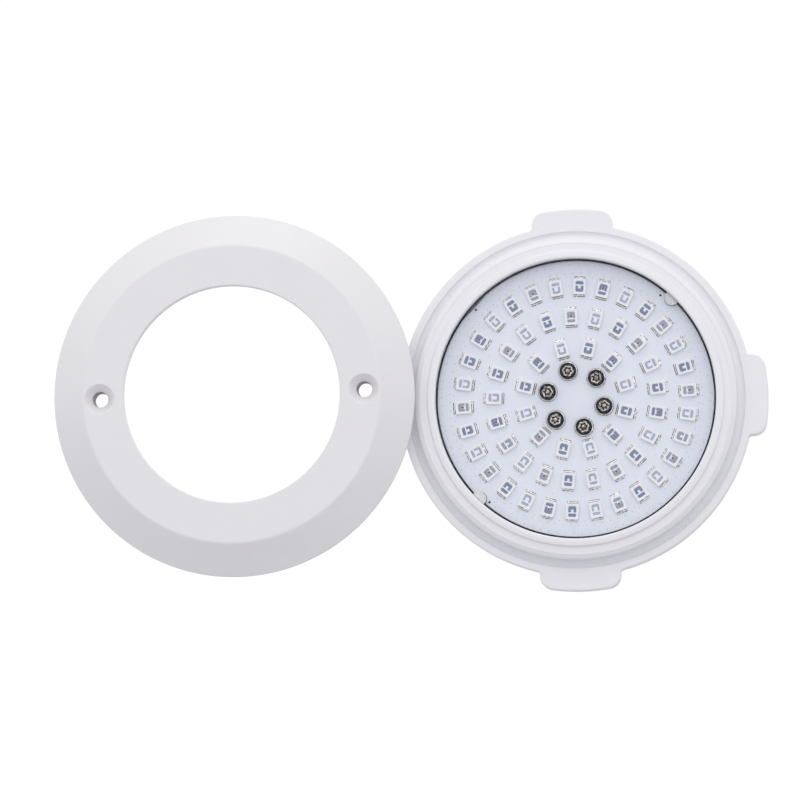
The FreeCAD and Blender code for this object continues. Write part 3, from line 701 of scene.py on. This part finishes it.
def rear_housing():
    """The cup with its flange, grip tabs, gasket groove and threaded spigot, as one closed skin. All its
    loops have the flange's angles."""
    outline = flange_outline()
    angles = [math.atan2(z, x) for x, z, _, _ in outline]

    def rings(corners, steps=5):
        """Circles through an eased profile."""
        return [[(p.x * math.cos(a), p.y, p.x * math.sin(a)) for a in angles] for p in eased(corners, steps)]

    def rim(inset, y):
        """The flange's outline, drawn in by an inset."""
        return [(x - inset * nx, y, z - inset * nz) for x, z, nx, nz in outline]

    guard = 0.12
    steps = 5
    rounding = [direction(90 * k / steps) for k in range(steps + 1)]
    loops = rings([(FLANGE_BORE_R, SEAT, 0), (FLANGE_BORE_R, FLANGE_FRONT, 0.18),
                   (FLANGE_FLAT_R, FLANGE_FRONT, 0)])[1:-1]
    loops.append(rim(FLANGE_EDGE + guard, FLANGE_FRONT))
    loops += [rim(FLANGE_EDGE * (1 - s), FLANGE_FRONT + FLANGE_EDGE * (1 - c)) for c, s in rounding]
    loops.append(rim(0, FLANGE_FRONT + FLANGE_EDGE + 0.1))
    loops.append(rim(0, FLANGE_BACK - FLANGE_EDGE - 0.1))
    loops += [rim(FLANGE_EDGE * (1 - c), FLANGE_BACK - FLANGE_EDGE * (1 - s)) for c, s in rounding]
    loops.append(rim(FLANGE_EDGE + guard, FLANGE_BACK))
    neck_r = SPIGOT_R - THREAD_DEPTH
    loops += rings([
        (FLANGE_FLAT_R, FLANGE_BACK, 0), (CUP_R, FLANGE_BACK, 0.5), (CUP_R, WALL_PLANE, 0.8),
        (GASKET_R[1], WALL_PLANE, 0.15), (GASKET_R[1], -GASKET_DEPTH, 0.1), (GASKET_R[0], -GASKET_DEPTH, 0.1),
        (GASKET_R[0], WALL_PLANE, 0.15), (neck_r, WALL_PLANE, 0.6), (neck_r, 5.0, 0),
    ])[1:-1]
    start = 1.2
    end = SPIGOT_END - 0.02
    loops.append([thread_point(start, a) for a in angles])
    inside = [[thread_point(end, a) for a in angles]]
    inside += rings([
        (SPIGOT_R - SPIGOT_CHAMFER, SPIGOT_END, 0), (GLAND_HOLE_R, SPIGOT_END, 0.2),
        (GLAND_HOLE_R, SPIGOT_END - END_WALL, 0.1), (SPIGOT_BORE_R, SPIGOT_END - END_WALL, 0.5),
        (SPIGOT_BORE_R, CUP_FLOOR, 0.3), (CUP_BORE_R, CUP_FLOOR, 0.8), (CUP_BORE_R, SEAT, 0.2),
        (FLANGE_BORE_R, SEAT, 0.15), (FLANGE_BORE_R, FLANGE_FRONT, 0),
    ], steps=4)[:-1]
    bm = bmesh.new()
    faces = add_loops(bm, inside + loops)
    bmesh.ops.delete(bm, geom=faces[-len(angles):], context="FACES")
    add_thread(bm, angles, start, end)
    bmesh.ops.remove_doubles(bm, verts=bm.verts, dist=0.0001)
    bmesh.ops.recalc_face_normals(bm, faces=bm.faces)
    weigh_normals(piece_from(bm, "rear_housing_shell", white_lamp, replaces=["rear_housing"],
                             sharp=40))


face_ring()
front_bezel()
rear_housing()


# ---------------------------------------------------------------- LED board
def led_places():
    """Every package's (radius, angle, colour)."""
    for radius, count, turn, order in LED_RINGS:
        for k in range(count):
            yield radius, turn + 360 * k / count, order.split()[k % 3]


def board_point(radius, degrees, along, across, y):
    """A point given along the radius and across it, from a place on the board."""
    c, s = direction(degrees)
    return ((radius + along) * c - across * s, y, (radius + along) * s + across * c)


def rounded_box(length, width, radius, steps=3):
    a, b = length / 2, width / 2
    return eased([(-a, -b, radius), (a, -b, radius), (a, b, radius), (-a, b, radius)], steps, guard=9.0)


def add_plate(bm, outline, radius, degrees, back, front, material):
    """A thin plate on the board, with the outline given along and across the radius, from a place on it."""
    loops = [[board_point(radius, degrees, p[0], p[1], y) for p in outline] for y in (back, front)]
    add_loops(bm, loops, closed=False, material=[material])


def even_circle(radius, count, offset=0.0):
    """Points (along, across) round a circle, an offset further out along the radius."""
    angles = [2 * math.pi * k / count for k in range(count)]
    return [(offset + radius * math.cos(a), radius * math.sin(a)) for a in angles]


def mirrored(points):
    """Corners (along, across, radius) for across > 0, completed with their mirror images."""
    return points + [(a, -b, r) for a, b, r in reversed(points)]


# A package's finishes, and by colour the bond pads in its window: lists of (outline corners, finish)
LED_FINISHES = [led_plastic, pad_dark, pad_pale, die_white, die_cream, die_white, die_red, pad_soft]
PLASTIC, DARK, PALE, GAP, CREAM, WINDOW, RED_DIE, SOFT = range(len(LED_FINISHES))
PADS = {
    "red": [
        (mirrored([(1.14, 0.86, 0.36), (-0.29, 0.86, 0.12), (-0.29, 0.32, 0.0), (0.42, 0.32, 0.14)])[::-1],
         DARK),
        (mirrored([(-0.52, 0.86, 0.10), (-1.17, 0.86, 0.38)]), DARK),
        (mirrored([(0.40, 0.30, 0.12), (-0.29, 0.30, 0.05)]), GAP),
    ],
    "blue": [
        (mirrored([(1.16, 0.86, 0.36), (0.45, 0.86, 0.12)]), DARK),
        (mirrored([(-1.16, 0.86, 0.36), (0.18, 0.86, 0.12), (0.18, 0.29, 0.0), (-0.46, 0.29, 0.10)]), DARK),
        (mirrored([(0.18, 0.27, 0.05), (-0.44, 0.27, 0.1)]), CREAM),
    ],
    "green": [
        (mirrored([(1.12, 0.83, 0.36), (0.52, 0.83, 0.08)]), PALE),
        (mirrored([(-1.20, 0.83, 0.40), (0.24, 0.83, 0.10), (0.24, 0.40, 0.0), (-0.70, 0.40, 0.16)]), PALE),
    ],
}


def led_packages():
    """White packages, each a body with eased edges and a sunk window that holds pads and a die."""
    length, width = PACKAGE
    pad_back = WINDOW_FLOOR + 0.01
    stages = [  # (length, width, corner radius, y)
        (length - 0.06, width - 0.06, 0.12, BOARD_FRONT), (length, width, 0.14, BOARD_FRONT - 0.06),
        (length, width, 0.14, LED_TOP + 0.08), (length - 0.04, width - 0.04, 0.13, LED_TOP + 0.025),
        (length - 0.12, width - 0.12, 0.10, LED_TOP), (2.66, 2.02, 0.42, LED_TOP),
        (2.60, 1.96, 0.40, LED_TOP + 0.02), (2.42, 1.84, 0.36, pad_back),
    ]
    strips = [PLASTIC] * (len(stages) - 2) + [WINDOW]
    for colour in ("red", "green", "blue"):
        bm = bmesh.new()
        for radius, degrees, own in led_places():
            if own != colour:
                continue
            loops = []
            for along, across, corner, y in stages:
                outline = rounded_box(along, across, corner)
                loops.append([board_point(radius, degrees, p.x, p.y, y) for p in outline])
            add_loops(bm, loops, closed=False, material=strips)
            soft = random.random() < SOFT_SHARE[colour]
            for corners, finish in PADS[colour]:
                thick = 0.012 if finish in (GAP, CREAM) else 0.02
                if finish == DARK and soft:
                    finish = SOFT
                add_plate(bm, eased(corners, 3, guard=9.0), radius, degrees, pad_back, WINDOW_FLOOR - thick,
                          finish)
            if colour == "red":
                add_plate(bm, even_circle(0.27, 12, 0.16), radius, degrees, WINDOW_FLOOR,
                          WINDOW_FLOOR - 0.045, RED_DIE)
        piece_from(bm, f"led_packages_{colour}", LED_FINISHES, replaces=[f"leds_{colour}"],
                   sharp=25)


def solder_joints():
    """The tinned ends of every package, each a sloping fillet with its own lumps and broken dark lines of
    painted shade and reflection where it meets the package and the board. The painted shade is stronger on
    the side nearer the middle."""
    bm = bmesh.new()
    segments = 10
    half_width = 1.25
    stations = (  # (distance from the package's middle, height)
        (1.70, 0.0), (1.75, 0.30), (1.90, 0.26), (2.02, 0.17), (2.13, 0.13), (2.27, 0.05), (2.30, 0.0))
    lines = (1, 4)
    for radius, degrees, _ in led_places():
        for side, share in ((-1, 0.85), (1, 0.36)):
            rows = []
            for along, height in stations:
                row = []
                for k in range(segments + 1):
                    across = (k / segments - 0.5) * 2
                    fall = 1 - smooth_step((abs(across) - 0.78) / 0.22)
                    lump = 1 + 0.35 * (random.random() - 0.5) if 0 < height < 0.3 else 1
                    reach = side * (along + 0.03 * (random.random() - 0.5) - 0.06 * (1 - fall))
                    y = BOARD_FRONT - max(0.0, height * (0.35 + 0.65 * fall) * lump)
                    row.append(bm.verts.new(board_point(radius, degrees, reach, across * half_width, y)))
                rows.append(row)
            faces = []
            for strip, (low, high) in enumerate(zip(rows, rows[1:])):
                for j in range(segments):
                    face = bm.faces.new((low[j], low[j + 1], high[j + 1], high[j]))
                    # Faces on two strips by the creases get the dark painted shade, more often at the
                    # fillet's ends and on the inner side.
                    dark = 0.85 * share + 0.25 if j in (0, segments - 1) else share
                    if strip in lines and random.random() < dark:
                        face.material_index = 1
                    faces.append(face)
            faces.append(bm.faces.new([row[0] for row in rows]))
            faces.append(bm.faces.new([row[-1] for row in rows]))
            for j in range(segments):
                faces.append(bm.faces.new((rows[-1][j], rows[-1][j + 1], rows[0][j + 1], rows[0][j])))
            bmesh.ops.recalc_face_normals(bm, faces=faces)
    piece_from(bm, "led_solder_joints", [solder, solder_shade], replaces=["led_terminals"], sharp=60)


def board_screws():
    """Black screws with a bright six-lobed recess, on tinned rings edged with a thin band of painted shade.
    """
    heads = bmesh.new()
    rings = bmesh.new()
    count = 60
    outer = [(1.0, SCREW_FOOT), (1.0, WASHER_TOP + 0.05), (SCREW_HEAD_R - 0.06, WASHER_TOP),
             (SCREW_HEAD_R, WASHER_TOP - 0.10), (SCREW_HEAD_R, SCREW_TOP + 0.42),
             (SCREW_HEAD_R - 0.07, SCREW_TOP + 0.22), (SCREW_HEAD_R - 0.20, SCREW_TOP + 0.07),
             (SCREW_HEAD_R - 0.38, SCREW_TOP)]
    recess = [  # (radius, depth of its lobes, how far below the top)
        (1.26, 0.07, 0.0), (1.20, 0.08, 0.10), (1.08, 0.13, 0.14), (0.80, 0.20, 0.10), (0.66, 0.22, 0.26),
        (0.50, 0.10, 0.26), (0.40, 0.0, 0.12), (0.16, 0.0, 0.08)]
    bright = [0] * 9 + [1, 1, 0, 0, 1, 1]
    tin = eased([(1.12, WASHER_TOP, 0.03), (1.86, WASHER_TOP, 0.03), (1.92, WASHER_TOP + 0.05, 0.03),
                 (2.03, WASHER_TOP + 0.06, 0.05), (2.08, BOARD_FRONT - 0.03, 0.02), (2.08, BOARD_FRONT, 0.0),
                 (1.12, BOARD_FRONT, 0.0)], 3, guard=9.0)
    # A thin dark band round each tinned ring where it meets the board: painted shade, not a material of its
    # own.
    shade_edge_r = 2.075
    shade_edge = [(shade_edge_r, BOARD_FRONT - 0.05), (WASHER_R, BOARD_FRONT - 0.03), (WASHER_R, BOARD_FRONT),
            (shade_edge_r, BOARD_FRONT)]
    for k in range(SCREW_COUNT):
        c, s = direction(SCREW_TURN + 360 * k / SCREW_COUNT)
        centre = (SCREW_PLACE_R * c, SCREW_PLACE_R * s)
        turn = random.uniform(0, math.pi / 3)
        loops = [circle(r, y, centre, count) for r, y in outer]
        for radius, lobes, down in recess:
            loop = []
            for j in range(count):
                a = 2 * math.pi * j / count
                r = radius * (1 + lobes * math.cos(6 * (a + turn)))
                loop.append((centre[0] + r * math.cos(a), SCREW_TOP + down, centre[1] + r * math.sin(a)))
            loops.append(loop)
        add_loops(heads, loops, closed=False, material=bright)
        add_lathe(rings, tin, centre, 64)
        for face in add_lathe(rings, shade_edge, centre, 64):
            face.material_index = 1
    piece_from(heads, "board_screw_heads", [screw_black, recess_metal],
               replaces=["board_screws"], sharp=38)
    piece_from(rings, "board_screw_rings", [tinned_ring, solder_shade],
               replaces=["screw_washers"], sharp=35)


def board_dots():
    """Plated vias in two rows round the edge and two sparse rows between the packages, and alignment dots."""
    vias = bmesh.new()

    def via(radius, degrees, size):
        stages = ((size, BOARD_FRONT + 0.002), (size, BOARD_FRONT - 0.012), (size / 2, BOARD_FRONT - 0.018))
        loops = [[board_point(radius, degrees, a, b, y) for a, b in even_circle(r, 10)] for r, y in stages]
        add_loops(vias, loops, closed=False)

    for k in range(EDGE_VIAS):
        for radius, turn in EDGE_VIA_ROWS:
            degrees = turn + 360 / EDGE_VIAS * k
            if min(abs((degrees - pin + 180) % 360 - 180) for pin in PIN_ANGLES) > PIN_CLEARANCE:
                via(radius, degrees, VIA_R)
    for (count, radius, size), (_, _, turn, _) in zip((OUTER_VIAS, INNER_VIAS), LED_RINGS):
        for k in range(count):
            via(radius, turn + 360 / count * (k + 0.5), size)
    piece_from(vias, "board_vias", via_metal, sharp=50)
    marks = bmesh.new()
    for radius, degrees in MARKS:
        add_plate(marks, even_circle(MARK_R, 16), radius, degrees, BOARD_FRONT + 0.002, BOARD_FRONT - 0.015,
                  0)
    piece_from(marks, "board_alignment_dots", screw_black, sharp=50)


led_packages()
solder_joints()
board_screws()
board_dots()


# ---------------------------------------------------------------- cable gland
def hexagon_radii(flats, corner, count=144):
    """Distances to a hexagon with rounded corners, at even angles."""
    near = flats / math.sqrt(3) - corner / math.cos(math.pi / 6)
    found = []
    for k in range(count):
        off = abs((360 * k / count + 30) % 60 - 30)
        c, s = direction(off)
        flat = (flats / 2) / direction(30 - off)[0]
        rounded = near * c + math.sqrt(max(0.0, corner ** 2 - (near * s) ** 2))
        found.append(min(flat, rounded) if off < 12 else flat)
    return found


def turned_hexagon(name, flats, corner, stages, finish, body, replaces):
    """A body with hexagonal and round stages: (largest radius, y, is it cut by the hexagon)."""
    radii = hexagon_radii(flats, corner)
    count = len(radii)
    loops = []
    for radius, y, cut in stages:
        loop = []
        for k in range(count):
            c, s = direction(360 * k / count)
            r = min(radius, radii[k]) if cut else radius
            loop.append((r * c, y, r * s))
        loops.append(loop)
    bm = bmesh.new()
    add_loops(bm, loops)
    weigh_normals(piece_from(bm, name, finish, body, replaces, sharp=35))


def gland():
    """The cable gland's body and its domed nut."""
    flange_end = GLAND_SEAT + GLAND_FLANGE
    wide = GLAND_FLATS / math.sqrt(3)
    screw, barrel = GLAND_SCREW_R, GLAND_BARREL_R
    seal_start = flange_end + CLAMP_FLOOR
    body_stages = [
        (CABLE_R, GLAND_START, False), (screw - 0.6, GLAND_START, False), (screw, GLAND_START + 0.6, False),
        (screw, GLAND_SEAT, False), (wide - 0.9, GLAND_SEAT, True), (wide - 0.3, GLAND_SEAT + 0.25, True),
        (wide, GLAND_SEAT + 0.55, True), (wide, flange_end - 0.6, True),
        (wide - 0.35, flange_end - 0.25, True), (wide - 1.0, flange_end, True),
        (barrel + 0.3, flange_end, False), (barrel, flange_end + 0.3, False),
        (barrel, GLAND_END - 0.3, False), (barrel - 0.3, GLAND_END, False),
        (CLAMP_POCKET_R, GLAND_END, False), (CLAMP_POCKET_R, seal_start, False), (CABLE_R, seal_start, False),
    ]
    turned_hexagon("gland_body_shell", GLAND_FLATS, 0.9, body_stages, grey_nylon, BODY,
                   ["gland_body"])
    end = NUT_END
    wide = NUT_FLATS / math.sqrt(3)
    inner = barrel + 0.06
    mouth = NUT_MOUTH_R
    wall = end - NUT_WALL
    nut_stages = [
        (inner, NUT_START + 0.2, False), (inner + 0.2, NUT_START, False), (wide - 1.0, NUT_START, True),
        (wide - 0.3, NUT_START + 0.25, True), (wide, NUT_START + 0.6, True), (wide, end - 4.6, True),
        (11.4, end - 4.1, True), (10.9, end - 3.6, True), (10.35, end - 3.2, True), (10.15, end - 2.6, True),
        (9.85, end - 1.9, True), (9.4, end - 1.2, True), (8.8, end - 0.6, False), (8.0, end - 0.15, False),
        (7.4, end, False), (mouth + 0.55, end, False), (mouth + 0.15, end - 0.15, False),
        (mouth, end - 0.5, False), (mouth, wall, False), (inner, wall, False),
    ]
    turned_hexagon("gland_nut_shell", NUT_FLATS, 1.0, nut_stages, grey_nylon, "gland_nut",
                   ["gland_nut"])


gland()


# ---------------------------------------------------------------- CAD nodes that stay, with their finishes
FINISHES = {
    "lens": lens_clear, "lens_seal": black_rubber, "bezel_seal": black_rubber, "led_board": board_white,
    "locating_pins": pin_white, "heat_plate": anodised, "thermal_pad": grey_pad, "plate_screws": plated,
    "wall_gasket": black_rubber, "driver_board": green_mask, "driver_standoffs": brass,
    "driver_screws": plated, "rectifier": epoxy, "capacitors": sleeve, "inductor_core": ferrite,
    "inductor_winding": copper, "controller_chip": epoxy, "switching_transistors": epoxy,
    "link_header": epoxy, "link_pins": brass, "terminal_block": green_nylon, "potting_resin": resin,
    "gland_washer": black_rubber, "gland_locknut": grey_nylon, "gland_seal": black_rubber,
    "gland_clamp": grey_nylon,
}
for node, finish in FINISHES.items():
    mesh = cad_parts[node].data
    mesh.materials.clear()
    mesh.materials.append(finish)


# ---------------------------------------------------------------- floor, light and camera
def floor_finish():
    material, nodes, links, shader = new_material("pale_floor")
    patches = noise(nodes, links, 400.0, detail=2.0)
    tone = blend_colours(nodes, links, spread(nodes, links, patches, 0.0, 1.0), (0.56, 0.56, 0.585),
                         (0.58, 0.58, 0.605))
    links.new(tone, shader.inputs["Base Color"])
    links.new(spread(nodes, links, patches, 0.75, 0.85), shader.inputs["Roughness"])
    add_bump(nodes, links, shader, noise(nodes, links, 3.0), 0.02)
    return material


def floor():
    bm = bmesh.new()
    reach = 4000.0
    height = -160.0
    places = ((-reach, -reach), (reach, -reach), (reach, reach), (-reach, reach))
    bm.faces.new([bm.verts.new((x, y, height)) for x, y in places])
    bmesh.ops.scale(bm, vec=(MM, MM, MM), verts=bm.verts)
    mesh = bpy.data.meshes.new("floor")
    bm.to_mesh(mesh)
    bm.free()
    mesh.materials.append(floor_finish())
    plane = bpy.data.objects.new("floor", mesh)
    bpy.context.scene.collection.objects.link(plane)


def softbox(name, place, size, power):
    """A white area light turned to the lamp and its ring."""
    data = bpy.data.lights.new(name, "AREA")
    data.shape = "RECTANGLE"
    data.size, data.size_y = size
    data.energy = power
    lamp = bpy.data.objects.new(name, data)
    lamp.location = place
    lamp.rotation_mode = "QUATERNION"
    lamp.rotation_quaternion = (LIGHT_TARGET - Vector(place)).to_track_quat("-Z", "Y")
    lamp.visible_camera = False
    bpy.context.scene.collection.objects.link(lamp)


# The places and sizes of the lights and the camera are in metres
LIGHT_TARGET = Vector((-0.03, -0.02, 0.0))
floor()
world = bpy.data.worlds.new("studio")
world.use_nodes = True
background = world.node_tree.nodes["Background"]
background.inputs["Color"].default_value = (1.0, 1.0, 1.0, 1.0)
background.inputs["Strength"].default_value = 1.02
bpy.context.scene.world = world
softbox("softbox_top", (0.0, -0.55, 0.92), (0.68, 0.9), 1.25)
softbox("softbox_front", (0.15, -1.4, 0.25), (1.2, 1.0), 1.60)

TARGET = Vector((-0.038806, -0.012, 0.000143))
DISTANCE = 1.2
AZIMUTH = math.radians(5.0)
ELEVATION = math.radians(-5.0)
away = Vector((math.sin(AZIMUTH) * math.cos(ELEVATION), -math.cos(AZIMUTH) * math.cos(ELEVATION),
               math.sin(ELEVATION)))
camera_data = bpy.data.cameras.new("camera")
camera_data.sensor_width = 36.0
camera_data.lens = 245.4
camera_data.clip_start = 0.01
camera_data.clip_end = 50.0
camera = bpy.data.objects.new("camera", camera_data)
camera.location = TARGET + away * DISTANCE
camera.rotation_mode = "QUATERNION"
camera.rotation_quaternion = (-away).to_track_quat("-Z", "Y")
bpy.context.scene.collection.objects.link(camera)
bpy.context.scene.camera = camera
bpy.context.scene.view_settings.view_transform = "Standard"
